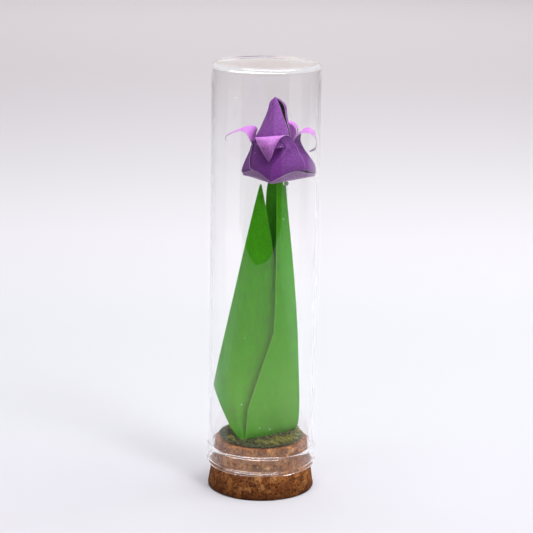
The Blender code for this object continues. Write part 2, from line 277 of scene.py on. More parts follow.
def lit_paper(name, start, end, stops, axis=None, glow=0.0):
    """Background paper whose whiteness changes from start to end, in metres out from the flower."""
    made, add = new_material(name)
    place = add("TexCoord").outputs["Object"]
    if axis:
        out = add("SeparateXYZ", {0: place}).outputs[axis]
    else:
        out = add("VectorMath", {0: place}, operation="LENGTH").outputs["Value"]
    away = add("MapRange", {"Value": out, "From Min": start, "From Max": end})
    tone = add("ValToRGB", {"Fac": away}, stops)
    shader = add("BsdfPrincipled", {
        "Base Color": tone, "Roughness": 0.95, "Specular IOR Level": 0.1,
        "Emission Color": tone, "Emission Strength": glow})
    add("OutputMaterial", {"Surface": shader})
    return made


def plain_paper(name, code):
    """Matte paper of one tone."""
    return lit_paper(name, 0.0, 1.0, [(0.0, code), (1.0, code)])


# ---- shaping helpers

def mesh_piece(name, points, faces, materials, face_materials=None, sharp=35.0):
    """A mesh piece from points in millimetres, shaded smooth up to an angle."""
    mesh = bpy.data.meshes.new(name)
    mesh.from_pydata((np.asarray(points, float) * MM).tolist(), [], [tuple(map(int, f)) for f in faces])
    for finish in materials:
        mesh.materials.append(finish)
    if face_materials is not None:
        mesh.polygons.foreach_set("material_index", np.asarray(face_materials, np.int32))
    mesh.shade_smooth()
    mesh.set_sharp_from_angle(angle=radians(sharp))
    mesh.validate()
    piece = bpy.data.objects.new(name, mesh)
    bpy.context.scene.collection.objects.link(piece)
    return piece


def mark(piece, name, values):
    """Stores one number at each point of a piece, for its material."""
    layer = piece.data.attributes.new(name, "FLOAT", "POINT")
    layer.data.foreach_set("value", np.asarray(values, np.float32))


def seat(piece, slot, *nodes):
    """Fixes a piece to the one body and hides the solids it stands for; slot, its finish's name, is not
    used.
    """
    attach(piece, "root")
    if nodes:
        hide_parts(*nodes)
    return piece


def at(z, *plan):
    """A row of points at one height."""
    return [(x, y, z) for x, y in plan]


def eased(steps):
    """Steps from 0 towards 1, closer set at both ends."""
    return (1.0 - np.cos(np.pi * np.arange(steps) / steps)) / 2.0


def through(points, steps, corners=()):
    """A smooth line through points, closer set at them, with a sharp turn at each corner."""
    points = np.asarray(points, float)
    last = len(points) - 1
    breaks = {0, last, *corners}
    line = []
    for i in range(last):
        a, b = points[i], points[i + 1]
        before = 2.0 * a - b if i in breaks else points[i - 1]
        after = 2.0 * b - a if i + 1 in breaks else points[i + 2]
        for t in eased(steps):
            line.append(0.5 * (2 * a + (b - before) * t + (2 * before - 5 * a + 4 * b - after) * t * t
                               + (3 * a - before - 3 * b + after) * t ** 3))
    line.append(points[-1])
    return np.array(line)


def profile_through(points, steps, corners=()):
    """The same for the (radius, height) points of a turned piece."""
    return [(r, z) for r, z, _ in through([(*point, 0.0) for point in points], steps, corners)]


def lofted(rows, along, across, corners=(), bends=()):
    """A grid of points through rows of points; corners are folded columns and bends folded rows."""
    down = through(rows, along, bends)
    grid = np.swapaxes(through(np.swapaxes(down, 0, 1), across, corners), 0, 1)
    return round_folds(grid, [c * across for c in corners])


def round_folds(grid, columns):
    """Eases the sharp turn at each folded column over its nearest neighbours."""
    for _ in range(3):
        for c in columns:
            for k in (c - 1, c + 1, c):
                grid[:, k] = 0.5 * grid[:, k] + 0.25 * (grid[:, k - 1] + grid[:, k + 1])
    return grid


def run_along(grid, axis):
    """How far each point of a grid lies from the sheet's first edge, measured along it."""
    step = np.linalg.norm(np.diff(grid, axis=axis), axis=2)
    return np.concatenate([np.zeros_like(step.take([0], axis)), np.cumsum(step, axis=axis)], axis=axis)


def wear_and_highlights(grid, folds, reach=0.11):
    """From 0 to 1, how worn each point of a sheet is, which also sets its painted highlights: most at its
    cut edges, a little at its folds.
    """
    run, climb = run_along(grid, 1), run_along(grid, 0)
    near = np.minimum.reduce([run, run[:, -1:] - run, climb[-1:] - climb])
    worn = np.exp(-(near / reach) ** 2)
    for c in folds:
        worn = np.maximum(worn, 0.1 * np.exp(-((run - run[:, c:c + 1]) / reach) ** 2))
    return worn


def paper_sheet(name, grid, stock, folds=(), glow=None):
    """A sheet of even thickness on a grid of points; stock is its face, its reverse and its core."""
    rows, width = grid.shape[:2]
    lift = np.cross(np.gradient(grid, axis=1), np.gradient(grid, axis=0))
    lift *= PAPER / 2 / np.maximum(np.linalg.norm(lift, axis=2, keepdims=True), 1e-9)
    points = np.concatenate([(grid + lift).reshape(-1, 3), (grid - lift).reshape(-1, 3)])
    under = rows * width
    cell = np.arange(under).reshape(rows, width)
    front = np.stack([cell[:-1, :-1], cell[:-1, 1:], cell[1:, 1:], cell[1:, :-1]], 2).reshape(-1, 4)
    back = front[:, ::-1] + under
    border = np.concatenate([cell[0, :], cell[1:, -1], cell[-1, -2::-1], cell[-2:0:-1, 0]])
    following = np.roll(border, -1)
    rim = np.stack([following, border, border + under, following + under], 1)
    kinds = np.repeat([0, 1, 2], [len(front), len(back), len(rim)])
    piece = mesh_piece(name, points, np.concatenate([front, back, rim]), stock, kinds)
    mark(piece, "worn", np.tile(wear_and_highlights(grid, folds).ravel(), 2))
    mark(piece, "glow", np.tile(np.ones(under) if glow is None else np.repeat(glow, width), 2))
    return piece


def ring_faces(first, rings, steps, closed=True):
    """Faces from one point out over rings of points and, where closed, in to a last point."""
    last = first + 1 + rings * steps
    faces = []
    for k in range(steps):
        after = (k + 1) % steps
        faces.append((first, first + 1 + k, first + 1 + after))
        faces += [(low + k, low + steps + k, low + steps + after, low + after)
                  for low in range(first + 1, last - steps, steps)]
        if closed:
            faces.append((last - steps + k, last, last - steps + after))
    return faces


def turned_piece(name, profile, steps, finish, sharp=60.0):
    """A closed piece turned about Z from a profile that starts and ends on the axis."""
    turns = [tau * k / steps for k in range(steps)]
    points = [(0.0, 0.0, profile[0][1])]
    points += [(r * cos(turn), r * sin(turn), z) for r, z in profile[1:-1] for turn in turns]
    points.append((0.0, 0.0, profile[-1][1]))
    return mesh_piece(name, points, ring_faces(0, len(profile) - 2, steps), [finish], sharp=sharp)


def crumb(points, faces, middle, axes, rings, steps, swell):
    """Adds a rounded lump on three half axes; swell gives its size at a direction, ring and turn."""
    first = len(points)
    points.append(middle + axes[2])
    for r in range(1, rings):
        tilt = pi * r / rings
        for k in range(steps):
            turn = tau * k / steps
            way = Vector((sin(tilt) * cos(turn), sin(tilt) * sin(turn), cos(tilt)))
            spot = axes[0] * way.x + axes[1] * way.y + axes[2] * way.z
            points.append(middle + spot * swell(way, r, turn))
    points.append(middle - axes[2])
    faces += ring_faces(first, rings - 1, steps)


def arc(centre, radius, start, end, count):
    """Points of a profile on an arc, angles in degrees from outwards towards up."""
    turns = np.radians(np.linspace(start, end, count + 1))
    return [(centre[0] + radius * cos(t), centre[1] + radius * sin(t)) for t in turns]


# ---- glass tube

def glass_tube(glass):
    """Upturned tube: flat closed end with a round corner, pressed lip with a rolled rim."""
    corner, inner_corner, sunk = 1.3, 0.55, 0.35
    bore = TUBE_RADIUS - TUBE_WALL
    straight = (100.0, 75.0, 50.0, 30.0, 16.0)
    neck = 13.4                                  # height where the tube starts to widen to its lip
    dish = [(0.0, -sunk), (4.0, -sunk), (8.0, -sunk), (10.8, 0.02 - sunk), (11.8, -0.24), (12.6, -0.08),
            (13.1, -0.02), (13.7, 0.0)]
    outside = [(r, TUBE_TOP + z) for r, z in profile_through(dish, 3, [2])]
    outside += arc((TUBE_RADIUS - corner, TUBE_TOP - corner), corner, 90, 0, 12)[1:]
    outside += [(TUBE_RADIUS, z) for z in (*straight, neck, 13.0)]
    shoulder, rim = 0.85, 0.65
    outside += arc((LIP_RADIUS - shoulder, 11.75), shoulder, 62, 0, 12)
    waist = [(LIP_RADIUS, 11.7), (LIP_RADIUS - 0.02, 11.0), (15.36, 10.3), (15.22, 9.6), (15.08, 9.0),
             (15.01, 8.5)]
    outside += profile_through(waist, 3)[1:]
    outside += arc((LIP_RADIUS - rim, MOUTH_Z + rim), rim, 66, -90, 18)
    inside = arc((MOUTH_BORE + rim, MOUTH_Z + rim), rim, -100, -180, 6)
    inside += [(MOUTH_BORE, 9.5), (MOUTH_BORE + 0.01, 11.5), (bore, neck)]
    inside += [(bore, z) for z in reversed(straight)]
    ceiling = TUBE_TOP - sunk - TUBE_END
    inside += arc((bore - inner_corner, ceiling - inner_corner), inner_corner, 0, 90, 8)
    inside += [(8.0, ceiling), (4.0, ceiling), (0.0, ceiling)]
    piece = turned_piece("tube_glass", outside + inside, 320, glass, sharp=80.0)
    return seat(piece, "clear_glass", "glass_tube")


# ---- cork

def granules(x, y, z):
    """Granule shade and closeness to a crack or pit at a point of the cork, both 0 to 1."""
    spot = Vector((x, y, z * 1.2)) / 1.9
    spot += noise.noise_vector(spot * 1.7) * 0.35
    distances, homes = noise.voronoi(spot)
    shade = noise.cell(homes[0] * 7.3 + Vector((5.1, 0.0, 2.7)))
    gap = distances[1] - distances[0]
    joint = max(0.0, 1.0 - gap / 0.06) * max(0.0, 0.25 + 0.9 * noise.noise(spot * 1.1))
    # a few long tears run round the cork where a flat granule has lifted
    lie = Vector((x / 5.5, y / 5.5, z / 1.5 + 3.7))
    lifted = max(0.0, min(1.0, 6.0 * (noise.noise(lie * 0.55 + Vector((9.0, 0, 0))) - 0.12)))
    tear = lifted * max(0.0, 1.0 - abs(noise.noise(lie) + 0.35 * noise.noise(lie * 3.1)) / 0.045)
    near, centres = noise.voronoi(Vector((x, y, z)) / 0.95)
    torn = noise.cell(centres[0] * 5.7) > 0.8
    pit = max(0.0, 1.0 - near[0] / 0.45) if torn else 0.0
    return shade, min(1.0, max(joint, tear, pit))


def cork(finish):
    """Tapered stopper with worn edges, pits and cracks pressed into its surface."""
    steps, edge, face_step, side_step = 400, 0.55, 0.45, 0.26
    slope = (CORK_FOOT_RADIUS - CORK_TOP_RADIUS) / CORK_HEIGHT
    worn_edge = [(edge * (1 - cos(t)), edge * (1 - sin(t))) for t in np.radians((15, 35, 55, 75, 90))]
    profile = [(0.0, CORK_HEIGHT)]
    profile += [(r, CORK_HEIGHT) for r in np.arange(3.0, CORK_TOP_RADIUS - edge, face_step)]
    profile += [(CORK_TOP_RADIUS - far, CORK_HEIGHT - near) for near, far in worn_edge[:-1]]
    profile += [(CORK_TOP_RADIUS + slope * (CORK_HEIGHT - z), z)
                for z in np.arange(CORK_HEIGHT - edge, edge, -side_step)]
    profile += [(CORK_FOOT_RADIUS - near, far) for near, far in worn_edge]
    profile += [(11.0, 0.0), (6.0, 0.0), (0.0, 0.0)]
    piece = turned_piece("cork_body", profile, steps, finish)
    noise.seed_set(1)                            # so that the granules lie alike in every run
    shades, cracks = [], []
    for vertex in piece.data.vertices:
        x, y, z = vertex.co / MM
        shade, crack = granules(x, y, z)
        swell = 0.10 * noise.fractal(Vector((x, y, z)) / 2.2, 1.0, 2.0, 3)
        depth = max(0.4 * crack - swell, -0.05)
        seated = min(1.0, z / 0.4)               # the foot stays flat
        if z > CORK_HEIGHT - 0.05:
            outward = Vector((0, 0, 0.7))
        else:
            outward = Vector((x, y, 0.0)).normalized()
        vertex.co -= outward * depth * seated * MM
        shades.append(shade)
        cracks.append(crack)
    mark(piece, "granule", shades)
    mark(piece, "crack", cracks)
    return seat(piece, "agglomerated_cork", "cork_stopper")


# ---- moss

def strands(name, starts, tips, radii, shades, finish):
    """Many thin tapered strands, each from a start to a tip, bowed up between."""
    sides, taper = 3, np.array([0.8, 1.0, 0.95, 0.7, 0.15])
    knots = len(taper)
    shares = np.linspace(0.0, 1.0, knots)
    line = starts[:, None] + (tips - starts)[:, None] * shares[None, :, None]
    length = np.linalg.norm(tips - starts, axis=1)
    line[:, :, 2] += (np.sin(np.pi * shares)[None] * 0.22) * length[:, None]
    way = (tips - starts) / length[:, None]
    side = np.cross(way, np.array([0.13, 0.21, 0.97]))
    side /= np.linalg.norm(side, axis=1, keepdims=True)
    other = np.cross(way, side)
    rings = []
    for turn in (tau * k / sides for k in range(sides)):
        spoke = side * cos(turn) + other * sin(turn)
        rings.append(line + spoke[:, None] * (radii[:, None] * taper[None])[:, :, None])
    points = np.stack(rings, axis=2)
    base = (np.arange(len(starts)) * knots * sides)[:, None, None, None]
    low = (np.arange(knots - 1) * sides)[None, :, None, None]
    k = np.arange(sides)[None, None, :, None]
    # a face's four corners, counted in rings and in sides
    onward, beside = np.array([[0, 0, 1, 1], [0, 1, 1, 0]])
    faces = base + low + onward * sides + (k + beside) % sides
    foot = base[:, 0, 0]
    caps = np.concatenate([foot + [[2, 1, 0]], foot + (knots - 1) * sides + [[0, 1, 2]]])
    piece = mesh_piece(name, points.reshape(-1, 3), [*faces.reshape(-1, 4), *caps], [finish], sharp=80.0)
    mark(piece, "strand", np.repeat(shades, knots * sides))
    mark(piece, "height", np.tile(np.repeat(shares, sides), len(starts)))
    return piece


def moss_mat(finish):
    """The felted mat that the strands grow from, thin at its rim."""
    rings, steps, reach = 26, 96, 11.3
    points, shades = [(0.0, 0.0, MOSS_FLOOR + 0.6)], [0.2]
    for r in range(1, rings + 1):
        for turn in (tau * k / steps for k in range(steps)):
            wide = reach + 0.5 * noise.noise(Vector((cos(turn) * 3, sin(turn) * 3, 4.0)))
            x, y = wide * r / rings * cos(turn), wide * r / rings * sin(turn)
            rim = min(1.0, (rings - r) / 4.0)
            tuft = 0.35 + 0.4 * noise.fractal(Vector((x, y, 0.0)) / 2.4, 1.0, 2.0, 3)
            points.append((x, y, MOSS_FLOOR - 0.2 + rim * max(0.1, tuft)))
            shades.append(0.15 + 0.1 * noise.noise(Vector((x, y, 3.0))))
    piece = mesh_piece("moss_mat", points, ring_faces(0, rings, steps, closed=False), [finish])
    mark(piece, "strand", shades)
    mark(piece, "height", np.full(len(points), 0.25))
    return seat(piece, "dried_moss", "moss_bed")


def dark_moss(finish):
    """Tufts of fine dark strands all over the bed."""
    rng = np.random.default_rng(11)
    count, reach = 6800, 11.6
    away, bearing = reach * np.sqrt(rng.random(count)), rng.random(count) * tau
    plan = np.stack([away * np.cos(bearing), away * np.sin(bearing)], 1)
    turn = rng.random(count) * tau
    length = 0.8 + 1.4 * rng.random(count)
    # the leaf's foot has pressed the moss before it flat
    near_foot = np.hypot(plan[:, 0] - LEAF_FOOT[0], plan[:, 1] - LEAF_FOOT[1]) / 2.2
    length *= 1.0 - 0.75 * np.exp(-near_foot ** 4)
    lean = np.radians(5 + 40 * rng.random(count) ** 1.5)
    edge = np.clip((reach + 0.2 - np.hypot(*plan.T)) / 2.0, 0.25, 1.0)
    starts = np.column_stack([plan, MOSS_FLOOR + 0.1 + 0.5 * rng.random(count) * edge])
    way = np.column_stack([np.cos(turn) * np.cos(lean), np.sin(turn) * np.cos(lean), np.sin(lean) * edge])
    tips = starts + way * length[:, None]
    tips[:, 2] = np.maximum(tips[:, 2], MOSS_FLOOR + 0.15)
    tips[:, :2] *= np.minimum(1.0, MOSS_REACH / np.hypot(tips[:, 0], tips[:, 1]))[:, None]
    shades = np.clip(0.52 + 0.32 * rng.standard_normal(count), 0.0, 1.0)
    piece = strands("moss_tufts", starts, tips, 0.065 + 0.055 * rng.random(count), shades, finish)
    return seat(piece, "dried_moss")


SPRIGS = [   # plan of a sprig's foot and tip
    ((-2.2, -9.4), (2.2, -10.8)), ((0.4, -9.8), (5.0, -10.2)), ((1.8, -8.0), (6.6, -8.9)),
    ((4.2, -9.4), (8.0, -7.2)), ((5.4, -6.6), (9.4, -7.0)), ((6.6, -5.2), (10.6, -4.4)),
    ((7.4, -7.8), (9.9, -5.0)), ((8.8, -3.4), (11.3, -1.4)), ((2.8, -6.4), (6.4, -6.2)),
    ((9.8, -1.8), (11.0, 1.8)), ((-6.2, 7.4), (-9.8, 5.0)), ((-8.8, 3.0), (-11.0, -0.6)),
    ((4.0, 8.0), (8.4, 6.8)), ((8.4, 4.0), (10.6, 1.4)), ((-3.0, 9.0), (1.0, 10.6)),
    ((-9.6, -5.0), (-7.2, -8.4)),
]


def pale_moss(finish):
    """Feathery yellow-green sprigs: a stalk with rows of short leaflets on both sides."""
    rng = np.random.default_rng(23)
    pairs, stalk = 17, 0.08
    parts = []                                   # start, tip, radius and shade of each strand
    for foot, tip in SPRIGS:
        a = np.array([*foot, MOSS_FLOOR + 0.6 + 0.4 * rng.random()])
        b = np.array([*tip, MOSS_FLOOR + 0.7 + 0.7 * rng.random()])
        edge = np.clip((12.0 - np.hypot(b[0], b[1])) / 2.0, 0.2, 1.0)
        b[2] = MOSS_FLOOR + (b[2] - MOSS_FLOOR) * edge
        parts.append((a, b, stalk, 0.3))
        length = np.linalg.norm(b - a)
        way = (b - a) / length
        side = np.array([-way[1], way[0], 0.0])
        shade = 0.35 + 0.5 * rng.random()
        for share in ((i + 0.8) / pairs for i in range(pairs)):
            root = a + (b - a) * share
            root[2] += 0.1 * sin(pi * share) * length
            for hand in (-1, 1):
                out = way * 0.75 + side * hand * (0.8 + 0.2 * rng.random())
                out = out + np.array([0, 0, 0.5 * rng.random() - 0.1])
                end = root + out * (1.25 - 0.8 * share) * (0.8 + 0.4 * rng.random())
                radius = 0.055 + 0.03 * rng.random()
                parts.append((root, end, radius, np.clip(shade + 0.3 * rng.standard_normal(), 0, 1)))
    piece = strands("moss_sprigs", *map(np.array, zip(*parts)), finish)
    return seat(piece, "pale_moss", *("moss_sprig_%d" % k for k in range(1, 6)))


# ---- stem and leaf

# stem, foot to top: back layer's free edge, its middle, ridge, flap's middle, flap's free edge
STEM_ROWS = [
    at(14.6, (-3.6, 5.6), (3.2, 3.9), (9.0, 1.3), (2.2, -4.2), (-4.6, -8.0)),
    at(17.0, (-3.3, 5.4), (3.4, 3.8), (10.5, 1.7), (2.9, -4.0), (-4.3, -8.0)),
    at(20.5, (-2.9, 5.1), (3.8, 3.7), (10.9, 1.8), (3.2, -3.8), (-4.05, -7.7)),
    at(24.3, (-2.2, 4.8), (4.2, 3.6), (10.95, 1.8), (3.8, -3.7), (-3.85, -7.2)),
    at(30.0, (-1.0, 4.4), (5.0, 3.4), (10.7, 1.8), (4.6, -3.2), (-2.05, -6.1)),
    at(45.5, (1.4, 2.9), (5.9, 2.5), (9.9, 1.5), (6.6, -1.6), (2.95, -3.2)),
    at(54.0, (0.9, 2.3), (5.2, 2.0), (9.25, 1.2), (6.4, -1.4), (3.3, -2.75)),
    at(65.0, (0.3, 1.9), (4.4, 1.7), (8.2, 1.0), (5.9, -1.2), (3.4, -2.3)),
    at(81.0, (0.3, 1.3), (3.6, 1.2), (6.4, 0.6), (4.9, -0.7), (3.3, -1.4)),
    at(87.6, (0.8, 0.9), (3.3, 0.9), (5.75, 0.4), (4.6, -0.5), (3.25, -0.9)),
    at(93.0, (2.4, 0.5), (3.8, 0.5), (5.2, 0.2), (4.5, -0.3), (3.7, -0.6)),
]
STEM_BENDS = [3, 5]

# leaf, foot to tip: back layer's free edge, folded left edge, quarter, middle, right edge
LEAF_ROWS = [
    [(-5.0, -7.1, 14.7), (-5.3, -7.6, 14.6), (-5.0, -7.8, 14.6), (-4.7, -7.9, 14.6), (-4.3, -7.6, 14.7)],
    at(16.5, (-6.2, -4.6), (-7.1, -6.2), (-6.2, -6.7), (-5.1, -7.2), (-3.6, -6.5)),
    at(18.8, (-7.0, -2.8), (-8.85, -5.0), (-7.4, -5.7), (-5.4, -6.5), (-3.0, -5.2)),
    at(24.0, (-7.6, 0.2), (-11.6, -2.4), (-9.4, -3.9), (-6.3, -5.6), (-2.0, -4.0)),
    at(29.2, (-8.0, 2.2), (-14.0, 0.2), (-10.6, -1.9), (-6.2, -4.3), (0.2, -2.9)),
    at(36.5, (-6.6, 2.4), (-12.5, 0.3), (-9.4, -1.0), (-4.9, -2.9), (2.4, -2.0)),
    at(43.5, (-5.4, 2.0), (-11.0, 0.2), (-7.8, -0.7), (-3.6, -1.9), (4.0, -1.4)),
    at(54.0, (-3.6, 1.2), (-8.75, -0.1), (-6.2, -0.8), (-2.8, -1.2), (3.6, -1.0)),
    at(65.0, (-2.6, 0.5), (-6.4, -0.4), (-4.8, -0.8), (-2.2, -0.8), (3.0, -0.9)),
    at(74.0, (-1.6, 0.0), (-4.45, -0.6), (-3.4, -0.9), (-1.6, -0.9), (1.6, -0.8)),
    at(82.0, (-1.3, -0.4), (-2.65, -0.8), (-2.1, -1.0), (-1.2, -1.0), (0.15, -0.8)),
    at(87.4, (-1.15, -0.75), (-1.35, -0.9), (-1.25, -0.95), (-1.1, -0.95), (-0.95, -0.9)),
]
LEAF_BENDS = [2, 4]


def stem_and_leaf(stock):
    """Green sheet folded into a three-sided stem with a leaf that stands free at its left."""
    stem = paper_sheet("stem_fold", lofted(STEM_ROWS, 14, 14, [2], STEM_BENDS), stock, folds=[28])
    seat(stem, "green_paper", "stem_and_leaf")
    leaf = paper_sheet("leaf", lofted(LEAF_ROWS, 10, 12, [1], LEAF_BENDS), stock, folds=[12])
    seat(leaf, "green_paper")


# ---- bloom

# body rings, turned-in hem to neck: height, centre x, radius at a side's middle, radius at
# a corner, and how far the side's middle stands above the corners
BODY_RINGS = [
    (90.9, 3.75, 7.3, 9.8, 1.9),
    (90.5, 3.75, 8.05, 10.45, 1.95),
    (91.2, 3.75, 8.25, 10.45, 1.5),
    (92.2, 3.75, 8.25, 10.2, 1.0),
    (93.8, 3.75, 7.9, 9.55, 0.5),
    (95.6, 3.6, 7.05, 8.5, 0.2),
    (97.0, 3.4, 6.2, 7.65, 0.0),
    (98.2, 3.25, 5.6, 7.1, 0.0),
]
BASE_RINGS = [
    (90.45, 3.75, 7.85, 10.2, 1.8),
    (89.8, 3.75, 7.7, 10.0, 0.75),
    (89.4, 3.8, 6.2, 7.9, 0.15),
    (89.3, 4.0, 4.4, 5.4, 0.0),
    (89.7, 4.0, 2.9, 3.2, 0.0),
]
BLOOM_TURN = radians(-12.0)
# each flap wraps one corner and ends over its neighbour: share of the side that it
# covers at the neck and at the hem; corners go right, back, left, front
SEAMS = [(0.30, 0.62), (0.30, 0.62), (0.10, 0.50), (0.75, 0.70)]
SEAM_TOP, SEAM_FOOT = 97.4, 90.2
HEM_LIFT = (0.2, 0.2, 0.05, 0.05)       # how far a flap's hem rises where its neighbour covers it


def seam(side, z):
    """Share of a side that its flap covers at a height."""
    top, foot = SEAMS[side % 4]
    return top + (foot - top) * np.clip((SEAM_TOP - z) / (SEAM_TOP - SEAM_FOOT), 0.0, 1.15)


def bell(distance, width):
    """1 at no distance, and falling off to nothing some widths away."""
    return np.exp(-(distance / width) ** 2)


def body_point(ring, turn, lift, rise):
    """A point of the body at a turn counted in corners, moved outwards by lift and up by rise."""
    z, centre, side, corner, bow = ring
    share = turn % 1.0
    off = (share - 0.5) * pi / 2
    radius = side + (corner - side) * (1.0 / cos(off) - 1.0) / (sqrt(2.0) - 1.0) + lift
    # towards the neck the front corner leans over to the right, and the paper before it is pressed in
    lean = 0.46 * np.clip((z - 93.6) / 5.3, 0.0, 1.0) ** 1.4 * bell(turn % 4 - 3.0, 0.5)
    radius -= 1.0 * np.clip((z - 93.5) / 3.0, 0.0, 1.0) * bell(turn % 4 - 2.86, 0.13)
    angle = (turn + lean) * pi / 2 + BLOOM_TURN
    x, y = centre + radius * cos(angle), radius * sin(angle)
    tilt = (0.05 * (x - centre) + 0.035 * y) * np.clip((98.0 - z) / 6.0, 0.0, 1.0)
    return (x, y, z + bow * sin(pi * share) + rise + tilt)


# petals, neck to tip: each row runs round the bloom in the same sense as its flap
PETALS = {
  "right": [
    [(7.3, -3.3, 99.7), (9.5, -0.4, 99.7), (8.6, 2.2, 100.2)],
    [(7.8, -3.3, 100.8), (9.6, -0.5, 101.2), (9.2, 1.6, 101.5)],
    [(8.4, -3.2, 101.45), (9.7, -0.8, 102.0), (9.6, 1.2, 102.0)],
    [(9.4, -3.0, 102.05), (9.9, -1.2, 102.35), (9.9, 0.4, 102.2)],
    [(10.45, -2.8, 102.3), (10.6, -1.2, 102.8), (10.4, 0.4, 102.95)],
    [(11.8, -2.7, 102.15), (11.8, -1.2, 102.9), (11.6, 0.3, 103.25)],
    [(12.9, -2.4, 101.5), (12.9, -1.1, 102.25), (12.7, 0.2, 102.95)],
    [(13.6, -2.0, 100.6), (13.6, -1.0, 101.3), (13.5, 0.0, 102.0)],
    [(13.85, -1.8, 99.6), (13.9, -1.1, 100.1), (13.85, -0.4, 100.7)],
    [(13.95, -1.6, 98.8), (14.0, -1.2, 99.1), (14.0, -0.9, 99.4)],
    [(13.8, -1.6, 97.75), (13.8, -1.3, 97.95), (13.8, -1.0, 98.15)],
    [(13.2, -1.6, 97.15), (13.2, -1.3, 97.38), (13.2, -1.0, 97.6)],
    [(12.0, -1.5, 96.75), (12.0, -1.4, 96.85), (12.0, -1.3, 96.95)],
  ],
  "back": [
    [(8.4, 2.3, 99.8), (5.6, 4.8, 100.4), (2.0, 5.1, 100.0)],
    [(8.6, 2.7, 101.3), (6.4, 4.4, 102.7), (3.4, 5.4, 102.4)],
    [(8.5, 3.1, 102.3), (7.0, 4.3, 103.7), (5.0, 5.9, 103.9)],
    [(8.6, 3.7, 102.6), (7.9, 5.0, 103.8), (6.8, 6.7, 104.1)],
    [(8.8, 4.5, 102.2), (8.7, 5.6, 103.0), (8.1, 7.3, 103.2)],
    [(8.9, 5.3, 101.4), (9.1, 6.3, 101.9), (9.0, 7.7, 102.0)],
    [(8.9, 5.9, 100.6), (9.2, 6.8, 100.8), (9.2, 7.9, 100.9)],
    [(8.7, 6.6, 100.0), (8.8, 6.8, 100.0), (8.9, 7.2, 100.0)],
  ],
  "left": [
    [(-2.4, 2.6, 100.4), (-3.3, 1.0, 99.8), (-4.2, -0.9, 99.4)],
    [(-2.3, 2.5, 102.2), (-3.6, 0.9, 101.4), (-4.8, -0.7, 100.7)],
    [(-3.0, 2.5, 103.15), (-4.4, 1.0, 102.4), (-5.4, -0.3, 101.4)],
    [(-4.9, 2.5, 103.1), (-5.9, 1.5, 102.7), (-6.9, 0.6, 102.0)],
    [(-7.2, 2.4, 102.3), (-7.8, 1.8, 102.0), (-8.4, 1.25, 101.5)],
    [(-9.3, 2.3, 101.35), (-9.45, 1.9, 101.2), (-9.6, 1.5, 100.95)],
    [(-10.65, 2.3, 100.6), (-10.7, 1.9, 100.5), (-10.75, 1.5, 100.35)],
    [(-11.15, 2.2, 99.9), (-11.15, 1.9, 99.85), (-11.15, 1.6, 99.8)],
    [(-10.95, 2.1, 98.95), (-10.95, 1.9, 98.95), (-10.95, 1.7, 98.95)],
  ],
  "front": [
    [(-3.0, -1.8, 99.3), (0.6, -4.7, 99.7), (4.4, -5.6, 99.8),
     (6.3, -4.5, 99.95), (7.6, -3.0, 99.7)],
    [(-2.85, -3.2, 100.8), (-0.7, -4.8, 101.1), (2.2, -5.6, 101.45),
     (4.7, -5.2, 101.5), (6.9, -3.6, 101.0)],
    [(-2.75, -4.2, 100.85), (-1.0, -5.7, 101.25), (1.2, -6.5, 101.6),
     (3.4, -6.2, 101.85), (5.8, -4.8, 101.9)],
    [(-2.4, -5.6, 100.2), (-0.9, -7.1, 100.7), (1.0, -8.0, 101.1),
     (2.8, -7.6, 101.45), (4.5, -6.3, 101.75)],
    [(-1.5, -7.5, 98.8), (-0.3, -8.6, 99.3), (1.0, -9.2, 99.7),
     (2.1, -8.9, 100.0), (3.1, -7.9, 100.35)],
    [(-0.4, -8.5, 97.1), (0.3, -9.1, 97.4), (1.0, -9.35, 97.6),
     (1.6, -9.2, 97.85), (2.15, -8.7, 98.3)],
    [(0.35, -8.8, 95.95), (0.6, -9.0, 96.0), (0.95, -9.15, 96.1),
     (1.3, -9.05, 96.25), (1.62, -8.85, 96.55)],
    [(0.8, -8.8, 95.3), (0.85, -8.8, 95.25), (0.9, -8.8, 95.25),
     (0.95, -8.8, 95.25), (1.0, -8.8, 95.3)],
  ],
}


def petal_flap(corner, stock):
    """One flap of the blown-up body, round a corner from hem to neck, and the petal peeled from it."""
    name = list(PETALS)[corner]
    tuck, count, finer = 0.10, 26, 24
    body = []
    for ring in through(BODY_RINGS, 5, [1]):
        z = ring[0]
        start = corner - 1 + seam(corner - 1, z) - tuck
        end = corner + seam(corner, z)
        turns = np.concatenate([
            start + (corner - start) * eased(count), corner + (end - corner) * eased(count), [end]])
        under = np.maximum(0.0, 1.0 - (turns - start) / (2 * tuck))
        over = np.maximum(0.0, 1.0 - (end - turns) / 0.25)
        hem = HEM_LIFT[corner] * np.clip((93.0 - z) / 2.0, 0, 1) * bell(turns - start, 0.3)
        lift = 0.30 * over ** 2 - 0.22 * under
        body.append([body_point(ring, *placed) for placed in zip(turns, lift, hem)])
    shares = (turns - turns[0]) / (turns[-1] - turns[0])
    petal = []
    for row in PETALS[name]:
        spans = len(row) - 1
        place = np.append(np.repeat(np.arange(spans), finer) + np.tile(eased(finer), spans), spans) / spans
        petal.append(np.column_stack([np.interp(shares, place, axis) for axis in through(row, finer).T]))
    peeled = through(np.array([body[-6], body[-1], *petal]), 9)[10:]
    grid = round_folds(np.concatenate([body, peeled]), [count])
    # a curled point has its own paper or the body behind it, so nothing shines through there: the painted
    # glow fades into the darker backing colour, a painted shade
    point = len(grid) - 1
    curl = {"right": 40, "back": 8, "left": 18, "front": point - len(body) - 40}[name]
    glow = np.clip((point - np.arange(len(grid))) / curl, 0.0, 1.0) ** 1.3
    return seat(paper_sheet("bloom_flap_" + name, grid, stock, folds=[count], glow=glow), "violet_paper")


